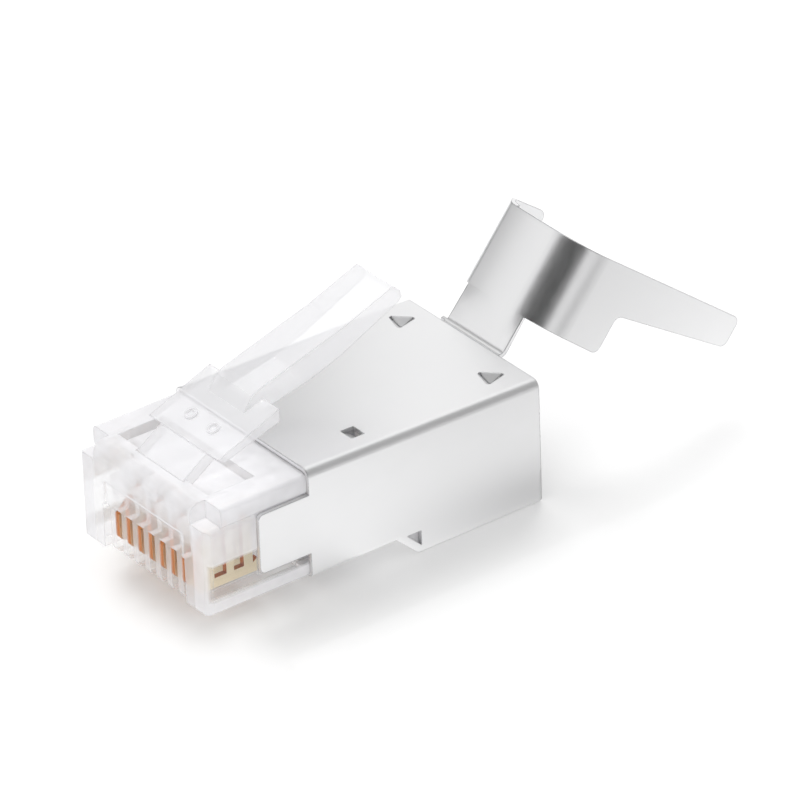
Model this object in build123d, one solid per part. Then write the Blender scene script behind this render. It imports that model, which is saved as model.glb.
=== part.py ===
from build123d import *
import math
import os

# Shielded eight-way modular plug with a fold-down cable clamp.
# Millimetres. X is the width, +Y runs from the nose to the cable, +Z is up.
# The origin is the middle of the nose's lower front edge: contacts face down, the latch is on top.

# Driving dimensions
WIDTH = 11.68            # clear body, as the jack opening needs
PITCH = 1.016            # contact pitch
CONTACTS = 8
BODY_TOP = 6.3           # top of the clear body
SHEET = 0.25             # shield and clamp sheet
FIT = 0.04               # slack between the body and the sheet around it
SHIELD_FRONT = 6.7
SHIELD_REAR = 22.3
SHIELD_TOP_FRONT = 6.6
SHIELD_TOP_REAR = 6.25
SHIELD_WIDTH = WIDTH + 0.32
STEP_START = 12.5        # the underside drops here so that a thick cable fits
STEP_DEPTH = 1.35
STEP_END = STEP_START + STEP_DEPTH * 1.07
UNDER = 0.08             # the sheet wraps this far below the body's underside
LATCH_WIDTH = 6.3        # across the two stops
LEVER_WIDTH = 3.25
NECK = (-2.57, 2.38)     # sides of the clamp's neck at its root
CLAMP_ANGLE = 50.5       # the clamp's lean above level, as it is delivered


def side_plate(points, x_from, x_to):
    """A closed outline of (y, z) points, extruded along X."""
    face = make_face(Plane.YZ * Polyline(*points, close=True))
    return Pos(x_from, 0, 0) * extrude(face, x_to - x_from, dir=(1, 0, 0))


def block(x_from, x_to, y_from, y_to, z_from, z_to):
    """A plain box between two corners."""
    middle = ((x_from + x_to) / 2, (y_from + y_to) / 2, (z_from + z_to) / 2)
    return Pos(*middle) * Box(x_to - x_from, y_to - y_from, z_to - z_from)


def rounded_plate(corners, x_from, x_to):
    """As side_plate, from corners of (y, z, radius) that are rounded where the radius isn't 0."""
    face = make_face(Plane.YZ * Polyline(*((y, z) for y, z, _ in corners), close=True))
    for y, z, radius in corners:
        if radius:
            face = fillet(face.vertices().sort_by_distance((0, y, z))[0], radius)
    return Pos(x_from, 0, 0) * extrude(face, x_to - x_from, dir=(1, 0, 0))


def rounded_bar(width, z_from, z_to, y_from, y_to, low_radius, top_radius):
    """A bar along Y whose cross section has its own radii below and above."""
    height = z_to - z_from
    face = Rectangle(width, height)
    for side, radius in ((-1, low_radius), (1, top_radius)):
        corners = [v for v in face.vertices() if abs(v.Y - side * height / 2) < 1e-6]
        face = fillet(corners, radius)
    section = Plane.XZ * Pos(0, (z_from + z_to) / 2, 0) * face
    return Pos(0, y_from, 0) * extrude(section, y_to - y_from, dir=(0, 1, 0))


# Contacts: stamped blades. Odd ones reach the lower row of wires and even ones the upper row.
BLADE = 0.35
BLADE_SLOT = BLADE + 0.03
BLADE_LOW = 0.15
BLADE_FRONT = 0.75
BLADE_REAR = 4.75
BAR = 0.6                # height of the solid bar under the prongs
CROWN = 0.45             # radius of the lower front corner, which the jack's spring rides over
POINT = 0.45             # length of a prong's sharp tip
REAR_PRONGS = ((4.15, 0.6), (2.95, 0.5))   # place along Y and width
FRONT_PRONG = (0.85, 0.6)    # place of its tip behind the blade's front, and width behind that
ROW_BORE = 1.4           # one insulated wire
LOWER_ROW = 3.6
UPPER_ROW = 4.75
TIP_GAP = 0.15           # the tips wait this far under the wires until they are pressed home


def contact_x(index):
    return (index - (CONTACTS - 1) / 2) * PITCH


def row_height(index):
    return UPPER_ROW if index % 2 else LOWER_ROW


def tip_height(index):
    return row_height(index) - ROW_BORE / 2 - TIP_GAP


def make_contact(index):
    tip = tip_height(index)
    notch = BLADE_LOW + BAR
    neck = tip - POINT
    outline = [(BLADE_FRONT, BLADE_LOW), (BLADE_REAR, BLADE_LOW), (BLADE_REAR, notch + 0.2)]
    for prong, width in REAR_PRONGS:
        outline += [(prong + width / 2, notch), (prong + width / 2, neck), (prong, tip)]
        outline += [(prong - width / 2, neck), (prong - width / 2, notch)]
    crest = BLADE_FRONT + FRONT_PRONG[0]
    half = FRONT_PRONG[1] / 2
    outline += [(crest + half, notch), (crest + half, neck), (crest, tip), (crest - half, neck)]
    outline += [(BLADE_FRONT, neck - POINT)]
    x = contact_x(index)
    blade = side_plate(outline, x - BLADE / 2, x + BLADE / 2)
    corner = blade.edges().filter_by(Axis.X).sort_by_distance((x, BLADE_FRONT, BLADE_LOW))[0]
    return fillet(corner, CROWN)


# Housing: one moulding in clear polycarbonate
LOWER_TOP = 5.2          # top of the lower body at the nose
SHOULDER_FRONT = 1.05    # the full-width shoulders start behind the nose
HUMP_WIDTH = 8.8
HUMP_REAR = SHOULDER_FRONT + 0.4
BROW = 0.8               # round upper edge of the hump
NOSE_CHAMFER = 0.35      # lead-in at the two front corners
COMB_BACK = 0.12
COMB_TOP = 4.2
COMB_DROP = 0.1
COMB_REAR = BLADE_REAR + 0.5
COMB_ROUND = 0.5
RIB_ROUND = 0.2          # the ribs between the blades have round edges
NOTCH_TOP = 2.75         # the blades show in open notches up to here
RIDGE = 1.7              # width of a shoulder ridge beside the latch well
WELL_REAR = 4.5
WELL_FLOOR = 5.7
HINGE_Y = 1.5
HINGE_Z = 6.0
HINGE_RADIUS = 0.34
HINGE_GAP = 0.03
WEB_WIDTH = 4.2
SLEEVE_WIDTH = SHIELD_WIDTH - 2 * SHEET - 2 * FIT
SLEEVE_REAR = SHIELD_REAR - 0.3
WALL = 0.55
CAVITY_WIDTH = SLEEVE_WIDTH - 2 * WALL
CAVITY_FRONT = 8.2       # the wires fan out from here
CAVITY_ROUND = 0.6
FUNNEL = (9.0, 2.7, 5.6, 1.5)    # width, bottom, top and length of the wires' way in
CHANNEL_FRONT = 0.9
CHANNEL_REAR = CAVITY_FRONT + 0.1
TONGUE = (3.35, 1.46, 5.1)       # front, bottom and top of the shield's side tongue
STAKE = (4.0, 20.5)      # place of a stake, either side
STAKE_SIZE = 0.95        # from its middle to a corner of its opening
STAKE_TURN = 75          # one of its corners points this way, in degrees
STAKE_DENT = (0.75, 0.55)        # radius of its dent, and depth under the sheet
LANCE = (4.15, 11.05)    # place of the small lance
LANCE_DENT = (1.2, 1.1, 5.85)    # width, length and floor of its dent


def shield_top(y):
    slope = (SHIELD_TOP_REAR - SHIELD_TOP_FRONT) / (SHIELD_REAR - SHIELD_FRONT)
    return SHIELD_TOP_FRONT + slope * (y - SHIELD_FRONT)


def body_profile(front, rear, inset):
    """The stepped side view of the shield, moved inwards by inset."""
    knee = inset * 0.42
    low = inset - UNDER
    return [
        (front, low),
        (STEP_START + knee, low),
        (STEP_END + knee, low - STEP_DEPTH),
        (rear, low - STEP_DEPTH),
        (rear, shield_top(rear) - inset),
        (front, shield_top(front) - inset),
    ]


def body_solid(front, rear, inset, top_radius, low_radius):
    """The stepped body with its long edges rounded."""
    half = SHIELD_WIDTH / 2 - inset
    solid = side_plate(body_profile(front, rear, inset), -half, half)

    def long_edges(top_ones):
        found = []
        for edge in solid.edges():
            on_side = abs(abs(edge.center().X) - half) < 1e-6
            is_top = edge.center().Z > SHIELD_TOP_REAR / 2
            if on_side and is_top == top_ones and abs(edge.tangent_at(0.5).Y) > 0.5:
                found.append(edge)
        return found

    solid = fillet(long_edges(True), top_radius)
    return fillet(long_edges(False), low_radius)


def make_nose():
    """The clear part ahead of the shield, without its channels."""
    half = WIDTH / 2
    lower = rounded_bar(WIDTH, 0, LOWER_TOP, 0, SHIELD_FRONT, 0.25, 0.4)
    shoulders = rounded_bar(WIDTH, LOWER_TOP - 0.1, BODY_TOP, SHOULDER_FRONT, SHIELD_FRONT, 0.25, 0.3)
    hump = block(-HUMP_WIDTH / 2, HUMP_WIDTH / 2, 0, HUMP_REAR, COMB_TOP, BODY_TOP)
    brow = hump.edges().filter_by(Axis.X).sort_by_distance((0, 0, BODY_TOP))[0]
    nose = lower + shoulders + fillet(brow, BROW)
    plan = make_face(Polyline(
        (-half, NOSE_CHAMFER), (-half + NOSE_CHAMFER, 0), (half - NOSE_CHAMFER, 0), (half, NOSE_CHAMFER),
        (half, SHIELD_FRONT), (-half, SHIELD_FRONT), close=True))
    return nose & extrude(plan, BODY_TOP + 1)


def cut_side_pockets(body):
    """Pockets that take the shield's tongues."""
    front, low, high = TONGUE
    for side in (-1, 1):
        inner = side * SLEEVE_WIDTH / 2
        outer = side * SHIELD_WIDTH
        body -= block(min(inner, outer), max(inner, outer),
                      front - FIT, SHIELD_FRONT + 1, low - FIT, high + FIT)
    return body


def cut_latch_well(body):
    """The well under the latch, with its round hinge seat."""
    half = WIDTH / 2 - RIDGE
    body -= block(-half, half, HINGE_Y, WELL_REAR, WELL_FLOOR, BODY_TOP + 1)
    seat = Cylinder(HINGE_RADIUS + HINGE_GAP, WEB_WIDTH + 0.2)
    return body - Pos(0, HINGE_Y, HINGE_Z) * Rot(0, 90, 0) * seat


def cut_cable_cavity(body):
    """The hollow for the cable, and the narrower way in for its wires."""
    width, low, high, length = FUNNEL
    half = CAVITY_WIDTH / 2
    profile = body_profile(CAVITY_FRONT + length - 0.3, SHIELD_REAR + 1, SHEET + FIT + WALL)
    cavity = side_plate(profile, -half, half)
    cavity = fillet([e for e in cavity.edges() if abs(e.tangent_at(0.5).Y) > 0.9], CAVITY_ROUND)
    funnel = rounded_bar(width, low, high, CAVITY_FRONT, CAVITY_FRONT + length, 0.5, 0.5)
    return body - cavity - funnel


def set_comb_back(body):
    """The comb between the contacts stands back from the nose."""
    half = (CONTACTS - 1) / 2 * PITCH
    return body - block(-half, half, -0.1, COMB_BACK, -1, COMB_TOP)


def make_rib():
    """One rib between two blades, with round edges down its front and along its underside."""
    half = (PITCH - BLADE_SLOT) / 2
    rib = block(-half, half, COMB_BACK, COMB_REAR, -COMB_DROP, NOTCH_TOP)
    rib = fillet([e for e in rib.edges().filter_by(Axis.X) if e.center().Z < 0], COMB_ROUND)
    rim = []
    for edge in rib.edges():
        middle = edge.center()
        outside = middle.Y < COMB_BACK + COMB_ROUND or middle.Z < COMB_ROUND
        if outside and abs(edge.tangent_at(0.5).X) < 1e-3 and middle.Z < NOTCH_TOP - 1e-3:
            rim.append(edge)
    return fillet(rim, RIB_ROUND)


def add_ribs(body):
    """The ribs take the place of the comb's square edges, and stand a little below the underside."""
    half = (PITCH - BLADE_SLOT) / 2
    front = COMB_BACK + COMB_ROUND
    square = side_plate([(-0.1, -1), (BLADE_REAR, -1), (BLADE_REAR, RIB_ROUND), (front, RIB_ROUND),
                         (front, NOTCH_TOP), (-0.1, NOTCH_TOP)], -half, half)
    rib = make_rib()
    for index in range(CONTACTS - 1):
        place = Pos(contact_x(index) + PITCH / 2, 0, 0)
        body = body - place * square + place * rib
    return body


def cut_wire_ways(body):
    """Round wire channels in two staggered rows, and the blades' slots under them."""
    length = CHANNEL_REAR - CHANNEL_FRONT
    slot_half = BLADE_SLOT / 2
    for index in range(CONTACTS):
        x = contact_x(index)
        height = row_height(index)
        channel = Rot(90, 0, 0) * Cylinder(ROW_BORE / 2, length)
        body -= Pos(x, CHANNEL_FRONT + length / 2, height) * channel
        left, right = x - slot_half, x + slot_half
        body -= block(left, right, BLADE_FRONT - HINGE_GAP, BLADE_REAR + HINGE_GAP, -1, height)
        body -= block(left, right, -0.1, BLADE_FRONT, -1, NOTCH_TOP)
    return body


def cut_dents(body):
    """Dents for the shield's stakes and its lance."""
    radius, depth = STAKE_DENT
    for side in (-1, 1):
        place = Pos(side * STAKE[0], STAKE[1], shield_top(STAKE[1]) - SHEET)
        body -= place * Cylinder(radius, 2 * depth)
    width, length, floor = LANCE_DENT
    return body - block(LANCE[0] - width / 2, LANCE[0] + width / 2,
                        LANCE[1] - length / 2, LANCE[1] + length / 2, floor, BODY_TOP + 1)


def make_housing():
    sleeve = body_solid(SHIELD_FRONT - 0.01, SLEEVE_REAR, SHEET + FIT, 0.3, 0.15)
    body = make_nose() + sleeve
    for step in (cut_side_pockets, cut_latch_well, cut_cable_cavity, set_comb_back,
                 cut_wire_ways, add_ribs, cut_dents):
        body = step(body)
    return body


# Latch: moulded with the housing and joined to it by a thin web, which is the hinge
BLOCK_FRONT = (2.9, 7.4)         # corners of the block that carries the stops, as (y, z)
BLOCK_REAR = (7.05, 9.03)
BLOCK_REAR_LOW = (7.05, 8.27)
BLOCK_FRONT_LOW = (3.3, 7.12)
WEB_END = [(3.6, 7.0), (3.6, 7.5), (2.9, 7.38)]
WEB_LEAN = 33            # the web leaves the hinge at this angle
LEVER_OUTLINE = [
    (6.9, 8.3), (7.05, 8.27), (10.2, 8.95), (12.3, 9.68), (16.3, 11.55), (16.5, 11.8),
    (16.4, 12.2), (15.95, 12.6), (12.7, 11.36), (7.0, 9.66), (6.4, 9.4), (5.7, 8.4),
]
PIP = (0.38, 0.24)       # outer and inner radius of the small raised rings
PIP_PLACE = (4.2, 7.93)


def make_latch():
    half = LATCH_WIDTH / 2
    lug = side_plate([BLOCK_FRONT_LOW, BLOCK_REAR_LOW, BLOCK_REAR, BLOCK_FRONT], -half, half)
    lean = math.radians(WEB_LEAN)
    dy = HINGE_RADIUS * math.sin(lean)
    dz = HINGE_RADIUS * math.cos(lean)
    web = side_plate([(HINGE_Y + dy, HINGE_Z - dz)] + WEB_END + [(HINGE_Y - dy, HINGE_Z + dz)],
                     -WEB_WIDTH / 2, WEB_WIDTH / 2)
    barrel = Pos(0, HINGE_Y, HINGE_Z) * Rot(0, 90, 0) * Cylinder(HINGE_RADIUS, WEB_WIDTH)
    lever = side_plate(LEVER_OUTLINE, -LEVER_WIDTH / 2, LEVER_WIDTH / 2)
    latch = lug + web + barrel + lever
    rise = math.degrees(math.atan2(BLOCK_REAR[1] - BLOCK_FRONT[1], BLOCK_REAR[0] - BLOCK_FRONT[0]))
    outer, inner = PIP
    pip = Cylinder(outer, 0.16) - Cylinder(inner, 0.5)
    for side in (-1, 1):
        latch += Pos(side * PITCH, *PIP_PLACE) * Rot(rise, 0, 0) * pip
    return latch


# Shield: one stamped and folded sheet
SHIELD_ROUND = 0.5       # outer radius of its upper folds
SHIELD_LOW_ROUND = 0.3
FLANGE = 0.5             # the underside's front edge stands back between these strips
FLANGE_BACK = 0.3
TONGUE_ROUND = 0.35
PETAL = (1.15, 0.16, 0.52, 0.18)  # width at its root and at its tip, length and thickness
PETAL_BEND = 48
LANCE_HOLE = (1.0, 0.86)
LANCE_TAB = (0.8, 0.7, 0.16)
LANCE_LEAN = 25


def make_petal(edge):
    """A three-cornered petal bent down from an edge of a stake's opening, pointing at its middle."""
    base, tip, length, thick = PETAL
    root = thick / 2         # it starts this far inside the sheet
    face = make_face(Polyline((root, -base / 2), (root, base / 2), (0, base / 2), (-length, tip / 2),
                              (-length, -tip / 2), (0, -base / 2), close=True))
    return Pos(edge, 0, 0) * Rot(0, -PETAL_BEND, 0) * extrude(face, thick / 2, both=True)


def make_side(side):
    """One side's tongue, and the cut that frees the fold where the underside drops."""
    front, low, high = TONGUE
    inner = side * (SHIELD_WIDTH / 2 - SHEET)
    outer = side * SHIELD_WIDTH / 2
    left, right = min(inner, outer), max(inner, outer)
    tongue = block(left, right, front, SHIELD_FRONT + 0.05, low, high)
    corners = [e for e in tongue.edges().filter_by(Axis.X) if e.center().Y < front + 0.01]
    relief = side_plate([(STEP_START + 0.6, 0), (STEP_END + 0.1, 0), (STEP_END + 0.1, 0.45 - STEP_DEPTH)],
                        left - 0.1, right + 0.1)
    return fillet(corners, TONGUE_ROUND), relief


def make_shield():
    outer = body_solid(SHIELD_FRONT, SHIELD_REAR, 0, SHIELD_ROUND, SHIELD_LOW_ROUND)
    inner = body_solid(SHIELD_FRONT - 1, SHIELD_REAR + 1, SHEET,
                       SHIELD_ROUND - SHEET, SHIELD_LOW_ROUND - SHEET + 0.03)
    shell = outer - inner
    half = SHIELD_WIDTH / 2
    for side in (-1, 1):
        tongue, relief = make_side(side)
        shell = shell + tongue - relief
    shell -= block(-half + FLANGE, half - FLANGE, SHIELD_FRONT - 1, SHIELD_FRONT + FLANGE_BACK, -1, 1)
    # stakes: three petals pushed down into the housing round a three-cornered opening
    opening = extrude(RegularPolygon(STAKE_SIZE, 3, rotation=STAKE_TURN), 0.5, both=True)
    opening = fillet(opening.edges().filter_by(Axis.Z), 0.18)
    for side in (-1, 1):
        place = Pos(side * STAKE[0], STAKE[1], shield_top(STAKE[1]) - SHEET / 2)
        shell -= place * opening
        for corner in range(3):
            turn = STAKE_TURN + 60 + 120 * corner
            shell += place * Rot(0, 0, turn) * make_petal(STAKE_SIZE / 2)
    # the small lance
    top = shield_top(LANCE[1])
    wide, long = LANCE_HOLE
    shell -= block(LANCE[0] - wide / 2, LANCE[0] + wide / 2, LANCE[1] - long / 2, LANCE[1] + long / 2,
                   top - 1, top + 1)
    tab = Pos(LANCE[0], LANCE[1] - 0.2, top - SHEET / 2 - 0.12) * Rot(-LANCE_LEAN, 0, 0) * Box(*LANCE_TAB)
    return shell + tab


# Clamp: the shield's tail, a channel with one short and one long wing
CLAMP_TOP = 7.06         # length of the strap above the bend
BLANK = CLAMP_TOP + 1    # height of the folded blank that the outlines are cut from
WING_LOW = 2.06          # the wings start this far above the bend
WINGS = (-3.5, 3.6)      # middles of the short and the long wing's sheet, across
WING_LONG = 13.4
WING_CLIMB = 0.3         # the long wing's upper edge climbs by this much along it
WING_STEP = 4.9          # the long wing is narrower beyond this
WING_RISE = 2.4          # by this much at the step
WING_TIP = 1.85          # width of the long wing at its tip
WING_ROUND = 0.45        # its corners
WING_SHORT = 3.5
HOOK = (0.3, 0.8, 0.25)  # the short wing's upper edge rises between these places, by the last
HOOK_CLIMB = 0.12        # and by this much more along the wing
FOLD_LEFT = 0.75         # middle radii of the two folds
FOLD_RIGHT = 2.3
CROWN_ANGLE = 12         # the strap is slightly crowned, and falls by this angle at the left fold
NECK_TOP = 2.2           # right side of the neck where the wings start
SPLAY = 0.35             # the long wing leans out by this much at its tip
BEND = 0.4
EAR = (0.35, 24)         # a small ear beside the neck, in the bend: its width, and its share in degrees


def crown():
    """Where the crowned face starts at the left fold and ends at the right one, as (x, n), and its radius."""
    right = WINGS[1] - FOLD_RIGHT
    left = WINGS[0] + FOLD_LEFT * (1 - math.sin(math.radians(CROWN_ANGLE)))
    radius = (right - left) / math.sin(math.radians(CROWN_ANGLE))
    fall = radius * (1 - math.cos(math.radians(CROWN_ANGLE)))
    return (left, fall), (right, 0), radius


def on_arc(centre, radius, angle):
    """A point at angle from straight ahead of the strap's face, in degrees, positive to the right."""
    turn = math.radians(angle)
    return (centre[0] + radius * math.sin(turn), centre[1] - radius * math.cos(turn))


def arc(centre, radius, start, end):
    return ThreePointArc(*(on_arc(centre, radius, angle) for angle in (start, (start + end) / 2, end)))


def clamp_section():
    """The folded sheet seen along the strap, as (x, n), with n away from the strap's face."""
    (left_x, left_n), (right_x, _), radius = crown()
    t = SHEET / 2
    crown_centre = (right_x, radius)
    right_centre = (right_x, FOLD_RIGHT)
    lean = math.radians(CROWN_ANGLE)
    left_centre = (left_x + FOLD_LEFT * math.sin(lean), left_n + FOLD_LEFT * math.cos(lean))
    wing_x = right_x + FOLD_RIGHT

    def side(out):
        start = on_arc(left_centre, FOLD_LEFT + out, -90)
        end = on_arc(right_centre, FOLD_RIGHT + out, 90)
        return (Line((start[0], WING_SHORT), start)
                + arc(left_centre, FOLD_LEFT + out, -90, -CROWN_ANGLE)
                + arc(crown_centre, radius + out, -CROWN_ANGLE, 0)
                + arc(right_centre, FOLD_RIGHT + out, 0, 90)
                + Line(end, (wing_x + SPLAY + out, WING_LONG)))

    short_x = left_centre[0] - FOLD_LEFT
    ends = (Line((short_x - t, WING_SHORT), (short_x + t, WING_SHORT))
            + Line((wing_x + SPLAY - t, WING_LONG), (wing_x + SPLAY + t, WING_LONG)))
    return make_face(side(t) + side(-t) + ends)


def neck_section(level):
    """The neck's own cut of that section where the wings start (level 1), and flat at the bend (level 0)."""
    (_, _), (right_x, _), radius = crown()
    t = SHEET / 2
    right_turn = math.degrees(math.asin((NECK_TOP - right_x) / FOLD_RIGHT))
    edges = []
    corners = []
    for out in (t, -t):
        if level:
            edges += [arc((right_x, radius), radius + out, -CROWN_ANGLE, 0),
                      arc((right_x, FOLD_RIGHT), FOLD_RIGHT + out, 0, right_turn)]
        else:
            edges += [Line((NECK[0], -out), (right_x, -out)), Line((right_x, -out), (NECK[1], -out))]
        corners.append((edges[-2] @ 0, edges[-1] @ 1))
    edges += [Line(corners[0][0], corners[1][0]), Line(corners[0][1], corners[1][1])]
    return make_face(edges)


def clamp_cuts():
    """What is cut off the folded sheet, as side views of (n, w), with w up along the strap."""
    far = SHIELD_WIDTH
    left = WINGS[0]
    r = WING_ROUND
    tip = CLAMP_TOP + WING_CLIMB
    low, high = -SHEET, BLANK + SHEET
    near, off = -1, WING_LONG + 1
    wing = [(near, WING_LOW, 0), (WING_STEP, WING_LOW, r), (WING_STEP, WING_LOW + WING_RISE, r),
            (WING_LONG, tip - WING_TIP, r), (WING_LONG, tip, r), (FOLD_RIGHT / 2, CLAMP_TOP, 0),
            (near, CLAMP_TOP, 0)]
    start, end, rise = HOOK
    top = CLAMP_TOP + rise
    short = [(near, WING_LOW, 0), (WING_SHORT, WING_LOW, 0), (WING_SHORT, top + HOOK_CLIMB, r),
             (end, top, 0), (start, CLAMP_TOP, 0), (near, CLAMP_TOP, 0)]
    around = [(near, low), (off, low), (off, high), (near, high)]
    middle = left + 1
    return (side_plate(around, middle, far) - rounded_plate(wing, middle, far)
            + side_plate(around, left - 1, middle) - rounded_plate(short, left - 1, middle))


def root_bend(axis_y, axis_z, lean, left, right):
    """The bend at the strap's root, about the hinge line."""
    centre_z = axis_z + BEND + SHEET / 2

    def at(radius, angle):
        return (axis_y + radius * math.sin(angle), centre_z - radius * math.cos(angle))

    inner, outer = BEND, BEND + SHEET
    ring = make_face(Plane.YZ * (
        Line(at(inner, 0), at(outer, 0))
        + ThreePointArc(at(outer, 0), at(outer, lean / 2), at(outer, lean))
        + Line(at(outer, lean), at(inner, lean))
        + ThreePointArc(at(inner, lean), at(inner, lean / 2), at(inner, 0))
    ))
    return Pos(left, 0, 0) * extrude(ring, right - left, dir=(1, 0, 0))


def make_clamp():
    lean = math.radians(CLAMP_ANGLE)
    t = SHEET / 2
    axis_y = SHIELD_REAR + t + HINGE_GAP
    axis_z = SHIELD_TOP_REAR - t
    foot = (0, axis_y + (BEND + t) * math.sin(lean), axis_z + (BEND + t) * (1 - math.cos(lean)))
    strap_frame = Plane(origin=foot, x_dir=(1, 0, 0), z_dir=(0, math.cos(lean), math.sin(lean)))
    channel = extrude(clamp_section(), BLANK) - clamp_cuts()
    neck = loft([neck_section(0), Pos(0, 0, WING_LOW) * neck_section(1)], ruled=True)
    width, share = EAR
    edge = Pos((NECK[0] + NECK[1]) / 2, axis_y, axis_z) * Rot(0, 90, 0) * Cylinder(t, NECK[1] - NECK[0])
    return (strap_frame * (channel + neck) + root_bend(axis_y, axis_z, lean, *NECK)
            + root_bend(axis_y, axis_z, math.radians(share), NECK[0] - width, NECK[0]) + edge)


nodes = {
    "housing": make_housing(),
    "latch": make_latch(),
    "shield": make_shield(),
    "cable_clamp": make_clamp(),
}
for number in range(CONTACTS):
    nodes[f"contact_{number + 1}"] = make_contact(number)

os.makedirs("parts", exist_ok=True)
for name, solid in nodes.items():
    export_step(solid, f"parts/{name}.step")
    print(name, round(solid.volume, 3), len(solid.solids()))
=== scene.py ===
import bpy
import math
from mathutils import Matrix, Vector


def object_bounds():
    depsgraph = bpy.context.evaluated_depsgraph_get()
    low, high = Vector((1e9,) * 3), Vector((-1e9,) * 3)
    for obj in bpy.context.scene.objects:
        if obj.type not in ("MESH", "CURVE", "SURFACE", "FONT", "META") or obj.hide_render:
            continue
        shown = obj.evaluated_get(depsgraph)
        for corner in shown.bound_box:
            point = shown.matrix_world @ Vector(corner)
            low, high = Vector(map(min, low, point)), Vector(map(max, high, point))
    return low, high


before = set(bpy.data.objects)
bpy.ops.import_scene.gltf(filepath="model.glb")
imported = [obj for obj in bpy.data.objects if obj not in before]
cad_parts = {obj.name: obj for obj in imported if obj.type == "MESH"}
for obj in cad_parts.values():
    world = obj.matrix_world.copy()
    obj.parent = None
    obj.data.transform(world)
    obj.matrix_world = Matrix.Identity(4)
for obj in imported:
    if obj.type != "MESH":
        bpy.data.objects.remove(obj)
cad_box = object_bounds()


# Housing. One injection moulding in clear polycarbonate: comb, wire channels, latch well and the
# sleeve under the shield. The polished mould leaves it glassy, with small round edges, faint flow
# ripples and a cool cast. Its thin walls are clear. Its thick upper nose, upper side walls, corner
# posts, shoulders, rib fronts and sharp edges are painted a see-through white: painted light that
# stands in for the brightness the clear plastic shows by refracting and reflecting the white room.
class Wire:
    """A shader socket. Sums on it add Math nodes, and node() adds a node of any other kind."""

    def __init__(self, tree, socket=None):
        self.tree, self.socket = tree, socket

    def node(self, kind, settings=None, inputs=None, output=0):
        made = self.tree.nodes.new("ShaderNode" + kind)
        for name, value in (settings or {}).items():
            setattr(made, name, value)
        for name, value in (inputs or {}).items():
            if isinstance(value, Wire):
                self.tree.links.new(value.socket, made.inputs[name])
            else:
                made.inputs[name].default_value = value
        return Wire(self.tree, made.outputs[output])

    def maths(self, operation, first, second):
        return self.node("Math", {"operation": operation}, {0: first, 1: second})

    def __add__(self, other):
        return self.maths("ADD", self, other)

    def __radd__(self, other):
        return self.maths("ADD", other, self)

    def __sub__(self, other):
        return self.maths("SUBTRACT", self, other)

    def __rsub__(self, other):
        return self.maths("SUBTRACT", other, self)

    def __mul__(self, other):
        return self.maths("MULTIPLY", self, other)

    def __rmul__(self, other):
        return self.maths("MULTIPLY", other, self)

    def over(self, other):
        """The larger of the two."""
        return self.maths("MAXIMUM", self, other)

    def between(self, low, high):
        """0 up to low, 1 from high on, and even in between."""
        return self.node("MapRange", {}, {"Value": self, "From Min": low, "From Max": high})


def new_finish(name, **plain):
    """A material with its plain sockets set. Returns it, its shader and a wire to build on."""
    material = bpy.data.materials.new(name)
    material.use_nodes = True
    shader = material.node_tree.nodes["Principled BSDF"]
    for socket, value in plain.items():
        shader.inputs[socket.replace("_", " ")].default_value = value
    return material, shader, Wire(material.node_tree)


def feed(wire, shader, socket):
    wire.tree.links.new(wire.socket, shader.inputs[socket])


def put_on(material, *node_names):
    for node_name in node_names:
        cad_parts[node_name].material_slots[0].material = material


MM = 0.001


def noise(wire, size_mm, stretch=(1, 1, 1), detail=3.0):
    """Cloudy noise whose spots are about size_mm, drawn out by stretch."""
    place = wire.node("TexCoord", output="Object")
    scale = tuple(1 / (size_mm * MM * part) for part in stretch)
    place = wire.node("Mapping", {}, {"Vector": place, "Scale": scale})
    return wire.node("TexNoise", {}, {"Vector": place, "Scale": 1.0, "Detail": detail,
                                      "Roughness": 0.55})


def relief(wire, height, depth_mm, strength, rounded):
    """A fine relief on top of the rounded edges."""
    return wire.node("Bump", {}, {"Height": height, "Strength": strength, "Distance": depth_mm * MM,
                                  "Normal": rounded})


SHARP_TURN = 0.15  # from here on, a rounded normal that turns away marks a sharp edge


def edge_shape(wire, radius_mm):
    """The normal of a small round edge, and a mask that is 1 on sharp edges."""
    rounded = wire.node("Bevel", {"samples": 6}, {"Radius": radius_mm * MM})
    flat = wire.node("NewGeometry", output="Normal")
    facing = wire.node("VectorMath", {"operation": "DOT_PRODUCT"}, {0: rounded, 1: flat},
                       output="Value")
    return rounded, (1 - facing).between(0.0, SHARP_TURN)


SIDEWAYS = (0.5, 0.9)  # a normal's sideways share, from no side face to a full one


def side_faces(wire):
    """1 on faces that look to the left or right, and 0 on the others."""
    facing = wire.node("NewGeometry", output="Normal")
    facing = wire.node("SeparateXYZ", {}, {"Vector": facing}, output="X")
    return facing.over(0 - facing).between(*SIDEWAYS)


def along(wire, axis):
    """How far along an axis a point lies, in millimetres, in the plug's own frame."""
    place = wire.node("TexCoord", output="Object")
    return wire.node("SeparateXYZ", {}, {"Vector": place}, output=axis) * (1 / MM)


COOL_WHITE = (0.98, 0.975, 1.0)
MOULD_ROUND = 0.1
FLOW_LENGTH, FLOW_DEPTH = 1.6, 0.04


def moulded(name, tone):
    """The plastic's finish. Returns the material, its shader, a wire and the mask of its edges."""
    colour = (*(tone * part for part in COOL_WHITE), 1)
    finish, shader, wire = new_finish(name, Base_Color=colour, IOR=1.5, Transmission_Weight=0.1)
    rounded, edges = edge_shape(wire, MOULD_ROUND)
    polish = 0.04 + 0.06 * noise(wire, 0.5)
    feed(polish + 0.1 * edges, shader, "Roughness")
    flow = noise(wire, FLOW_LENGTH, detail=1.0)
    feed(relief(wire, flow, FLOW_DEPTH, 0.12, rounded), shader, "Normal")
    return finish, shader, wire, edges


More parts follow.
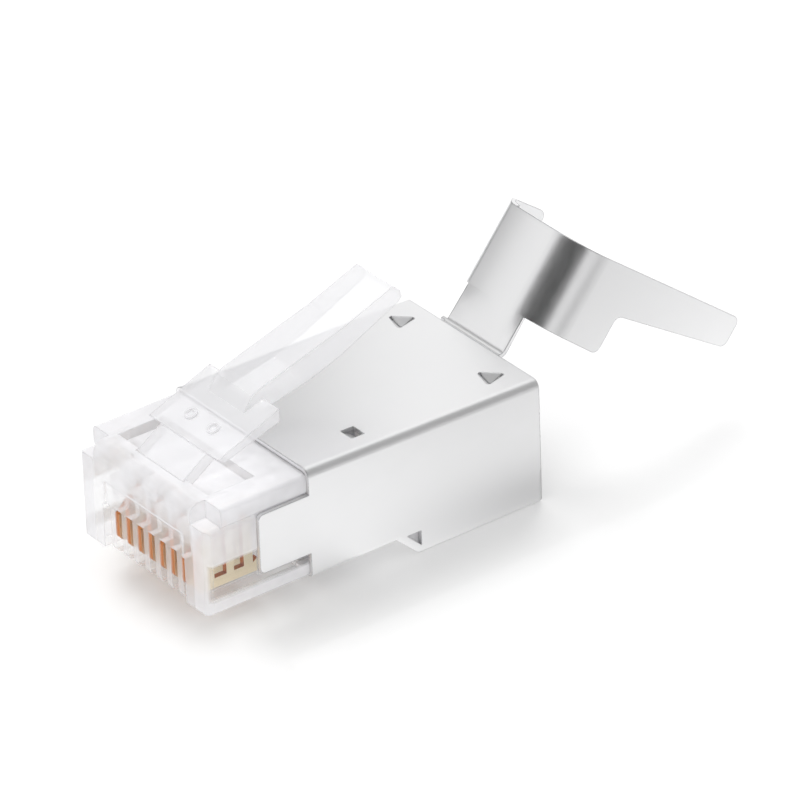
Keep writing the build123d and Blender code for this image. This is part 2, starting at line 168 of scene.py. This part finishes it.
# Each pair is where a part of the housing starts and where it is fully there, in millimetres from
# the plug's middle (sideways), from its nose (backwards) or from its underside (upwards).
SIDE_WALL = (4.3, 4.6)
BEHIND_COMB = (0.7, 1.1)
BEHIND_FRONT = (0.1, 0.3)
ABOVE_RAIL = (0.7, 1.0)
SOLID_NOSE = (2.9, 3.9)
SOLID_WALL = (2.9, 3.1)
SHOULDER_HEIGHT, SHOULDER_FRONT = (4.0, 5.0), (2.0, 2.6)

clear_body, body_shader, wire, edges = moulded("clear_body", 0.98)
x, y, z = (along(wire, axis) for axis in "XYZ")
side_wall = x.over(0 - x).between(*SIDE_WALL)
comb = 1 - y.between(*BEHIND_COMB)
corner_posts = (1 - y.between(*BEHIND_FRONT)).over(1 - z.between(*ABOVE_RAIL)) * side_wall
# Painted light: a more opaque white where the clear plastic looks bright from the room it refracts
# and reflects. Only the cloud noise in it varies at random.
painted_white_zones = z.between(*SOLID_NOSE).over(z.between(*SOLID_WALL) * side_wall).over(corner_posts)
shoulders = z.between(*SHOULDER_HEIGHT) * y.between(*SHOULDER_FRONT)
clouds = 0.35 + 0.3 * noise(wire, 1.3, detail=1.0)
painted_whiteness = 0.05 + painted_white_zones * (clouds + 0.25 * shoulders.over(side_wall))
rib_fronts = 0.45 * comb * (1 - side_faces(wire))
feed(painted_whiteness.over(rib_fronts).over(0.75 * edges), body_shader, "Alpha")
put_on(clear_body, "housing")

# Latch. The lever with its two plain rings, on a thin web that springs. It is one moulding with the
# housing, in the same clear polycarbonate, thinner and so more even to look through.
clear_latch, latch_shader, wire, edges = moulded("clear_latch", 1.0)
# Painted light: the side faces are a more opaque white than the top, and the sharp edges nearly
# white, standing in for the light its sides refract and its edges catch.
see_through_and_side_light = 0.38 + 0.17 * side_faces(wire)
feed(see_through_and_side_light.over(0.95 * edges), latch_shader, "Alpha")
put_on(clear_latch, "latch")
for name in ("housing", "latch"):
    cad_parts[name].visible_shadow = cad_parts[name].visible_diffuse = False

# Contacts. Eight blades stamped from phosphor bronze strip, nickel plated and flashed with gold,
# and pressed into the slots from below. Their colour is painted light: a deep orange painted shade
# on every face that does not look sideways, and a pale painted sheen on their sides, palest where
# the side window shows them.
SHADED_GOLD, SHEEN_GOLD = (0.62, 0.2, 0.03, 1), (1.0, 0.92, 0.7, 1)
WINDOW_FRONT = (0.8, 1.4)  # millimetres back from the nose
BLADE_ROUND = 0.05
GRAIN_DEPTH = 0.01


def mixed(wire, share, first, second):
    return wire.node("MixRGB", {}, {"Fac": share, "Color1": first, "Color2": second})


gold, gold_shader, wire = new_finish("gold_flash", Metallic=1.0)
rounded, edges = edge_shape(wire, BLADE_ROUND)
window_sheen = along(wire, "Y").between(*WINDOW_FRONT)
# Painted light: the side faces get a pale painted sheen, strongest in the side window, and the
# other faces keep the deep orange painted shade. The noise varies it at random.
sides_and_sheen = side_faces(wire) * (0.45 + 0.4 * window_sheen + 0.15 * noise(wire, 0.8))
feed(mixed(wire, sides_and_sheen, SHADED_GOLD, SHEEN_GOLD), gold_shader, "Base Color")
feed(0.3 + 0.2 * sides_and_sheen + 0.1 * noise(wire, 0.4) - 0.08 * edges, gold_shader, "Roughness")
stamping = noise(wire, 0.3, stretch=(1, 1, 6))
feed(relief(wire, stamping, GRAIN_DEPTH, 0.02, rounded), gold_shader, "Normal")
put_on(gold, *(f"contact_{number}" for number in range(1, 9)))

# Shield and cable clamp. Thin brass strip, stamped, folded round the housing and nickel plated.
# Rolling left a fine grain along the strip. The folds are soft. The cut edges are painted darker:
# painted shade that stands in for how their narrow rounded faces reflect the room.
NICKEL, EDGE_SHADE = (0.91, 0.91, 0.915, 1), (0.5, 0.5, 0.51, 1)
# Where each part of the shield starts and is fully there, in millimetres as for the housing.
SIDE_PANEL = (4.9, 5.3)
TOP_FOLD = (6.4, 6.8)
REAR_END, ABOVE_LOW_FOLD = (17.0, 17.6), (0.4, 0.7)
CUT_ROUND, MORE_AT_FOLDS = 0.1, 0.3

plate, plate_shader, wire = new_finish("satin_nickel", Metallic=1.0)
x, y, z = (along(wire, axis) for axis in "XYZ")
side_panel = x.over(0 - x).between(*SIDE_PANEL)
low_fold = y.between(*REAR_END) * (1 - z.between(*ABOVE_LOW_FOLD))
folds = side_panel * z.between(*TOP_FOLD).over(low_fold)
rounded, edges = edge_shape(wire, CUT_ROUND + MORE_AT_FOLDS * folds)
cut_edges = edges * (1 - folds)
# Painted shade: the cut edges are coloured darker than the plating.
feed(mixed(wire, cut_edges, NICKEL, EDGE_SHADE), plate_shader, "Base Color")
satin = 0.3 + 0.12 * noise(wire, 0.12, stretch=(1, 14, 4))
feed(satin - 0.08 * cut_edges, plate_shader, "Roughness")
rolling = noise(wire, 0.05, stretch=(1, 30, 6))
feed(relief(wire, rolling, GRAIN_DEPTH, 0.06, rounded), plate_shader, "Normal")
put_on(plate, "shield", "cable_clamp")

# Table and room. A matt white table in an even white room. Both look white where they are seen
# directly, in the metal or through the plastic, and light the plug a little less than that.
TABLE_SIZE, TABLE_WHITE, TABLE_GLOW = 6, 0.88, 0.12
ROOM_LIGHT = 0.82


def seen_directly(wire):
    """1 for what the camera, a reflection or a look through the plastic shows."""
    camera_ray = wire.node("LightPath", output="Is Camera Ray")
    glossy_ray = wire.node("LightPath", output="Is Glossy Ray")
    return camera_ray.over(glossy_ray).over(wire.node("LightPath", output="Is Transmission Ray"))


floor_z = cad_box[0].z
bpy.ops.mesh.primitive_plane_add(size=TABLE_SIZE, location=(0, 0, floor_z))
table = bpy.context.object
table.name = "table"
paint, paint_shader, wire = new_finish("white_table", Base_Color=(TABLE_WHITE,) * 3 + (1,),
                                       Roughness=0.9, Emission_Strength=1.0)
feed(TABLE_GLOW * seen_directly(wire), paint_shader, "Emission Color")
table.data.materials.append(paint)

room = bpy.data.worlds.new("white_room")
bpy.context.scene.world = room
room.use_nodes = True
background = room.node_tree.nodes["Background"]
background.inputs["Color"].default_value = (1, 1, 1, 1)
wire = Wire(room.node_tree)
feed(ROOM_LIGHT + (1 - ROOM_LIGHT) * seen_directly(wire), background, "Strength")

# Lamp and cards. One large soft lamp high at the left rear, left out of reflections. Black and grey
# cards round the plug and a grey flag close to it show only in reflections, as a photographer sets
# them to draw the plated sheet's shape. Two soft patches on the table, seen only in reflections,
# are
# painted shade: they darken the table where the metal reflects it beside the plug.
LAMP_POWER, LAMP_SIZE, LAMP_PLACE = 2.3, 0.4, (-0.36, 0.26, 0.63)
CARD_DISTANCE = 0.9
plug_middle = Vector((0, 0.014, 0.003))


def aim(thing, place, at=plug_middle):
    thing.location = place
    thing.rotation_mode = "QUATERNION"
    thing.rotation_quaternion = (Vector(place) - at).to_track_quat("Z", "Y")


lamp_light = bpy.data.lights.new("soft_lamp", "AREA")
lamp_light.energy, lamp_light.size = LAMP_POWER, LAMP_SIZE
lamp = bpy.data.objects.new("soft_lamp", lamp_light)
bpy.context.scene.collection.objects.link(lamp)
aim(lamp, LAMP_PLACE)
lamp.visible_glossy = False


def around(azimuth, elevation):
    """A card's place round the plug. Azimuth 0 is in front of the nose and 90 on its right."""
    a, e = math.radians(azimuth), math.radians(elevation)
    out = Vector((math.sin(a) * math.cos(e), -math.cos(a) * math.cos(e), math.sin(e)))
    return plug_middle + CARD_DISTANCE * out


def card(name, tone, place, width, height, facing=plug_middle, soft=False):
    """A card that shows only in reflections. A soft one fades to white at its rim."""
    finish, shader, wire = new_finish(name, Base_Color=(0, 0, 0, 1), Roughness=1.0,
                                      Specular_IOR_Level=0.0, Emission_Color=(tone, tone, tone, 1),
                                      Emission_Strength=1.0)
    if soft:
        local = wire.node("TexCoord", output="Object")
        local = wire.node("Mapping", {}, {"Vector": local, "Scale": (2, 2, 2)})
        centre = wire.node("TexGradient", {"gradient_type": "SPHERICAL"}, {"Vector": local})
        feed(1 - (1 - tone) * centre, shader, "Emission Color")
    bpy.ops.mesh.primitive_plane_add(size=1)
    made = bpy.context.object
    made.name = name
    made.scale = (width, height, 1)
    aim(made, place, facing)
    made.data.materials.append(finish)
    made.visible_camera = made.visible_diffuse = False
    made.visible_transmission = made.visible_shadow = False


def painted_table_shade(name, tone, across, back, width, height):
    """Painted shade on the table: a soft dark patch that only reflections show, its middle as far
    across and back from the nose.
    """
    place = Vector((across, back, floor_z + 0.05 * MM))
    card(name, tone, place, width, height, facing=place - Vector((0, 0, 1)), soft=True)


card("black_card_front", 0.0, around(25, 25), 1.7, 1.0)
card("grey_card_left", 0.0, around(-90, 7), 0.66, 0.5)
card("grey_card_back", 0.4, around(125, 32), 1.3, 1.4)
card("grey_card_high", 0.1, around(-84, 44), 0.5, 0.25)
# Painted shade, seen only in the metal: a darker table beside the wing and by the side wall's rear.
painted_table_shade("painted_table_shade_right", 0.0, 0.05, 0.032, 0.08, 0.06)
painted_table_shade("painted_table_shade_rear", 0.55, 0.0075, 0.0225, 0.011, 0.024)
card("flag_left", 0.3, Vector((-0.038, 0.027, 0.027)), 0.02, 0.016,
     facing=Vector((-0.004, 0.009, 0.0065)))

# Camera. A long lens in front of the nose, to its right and above it, rolled a little. It was
# fitted to the plug's edges in the photograph.
LENS, SENSOR = 374.1, 36
CAMERA_PLACE = (0.31554, -0.21258, 0.23448)
AHEAD = Vector((-0.69618, 0.50723, -0.50797))
LEVEL, RISE = Vector((0.58886, 0.80822, 0)), Vector((-0.41055, 0.29912, 0.86136))
ROLL = math.radians(2.151)

camera_data = bpy.data.cameras.new("camera")
camera_data.lens, camera_data.sensor_width = LENS, SENSOR
camera_data.clip_start, camera_data.clip_end = 0.01, 20
camera = bpy.data.objects.new("camera", camera_data)
bpy.context.scene.collection.objects.link(camera)
bpy.context.scene.camera = camera
right = LEVEL * math.cos(ROLL) - RISE * math.sin(ROLL)
up = LEVEL * math.sin(ROLL) + RISE * math.cos(ROLL)
camera.rotation_mode = "QUATERNION"
camera.rotation_quaternion = Matrix((right, up, -AHEAD)).transposed().to_quaternion()
camera.location = CAMERA_PLACE

bpy.context.scene.view_settings.view_transform = "Standard"
light_paths = bpy.context.scene.cycles
light_paths.max_bounces = 24
light_paths.transparent_max_bounces = 48
light_paths.glossy_bounces = light_paths.transmission_bounces = 20
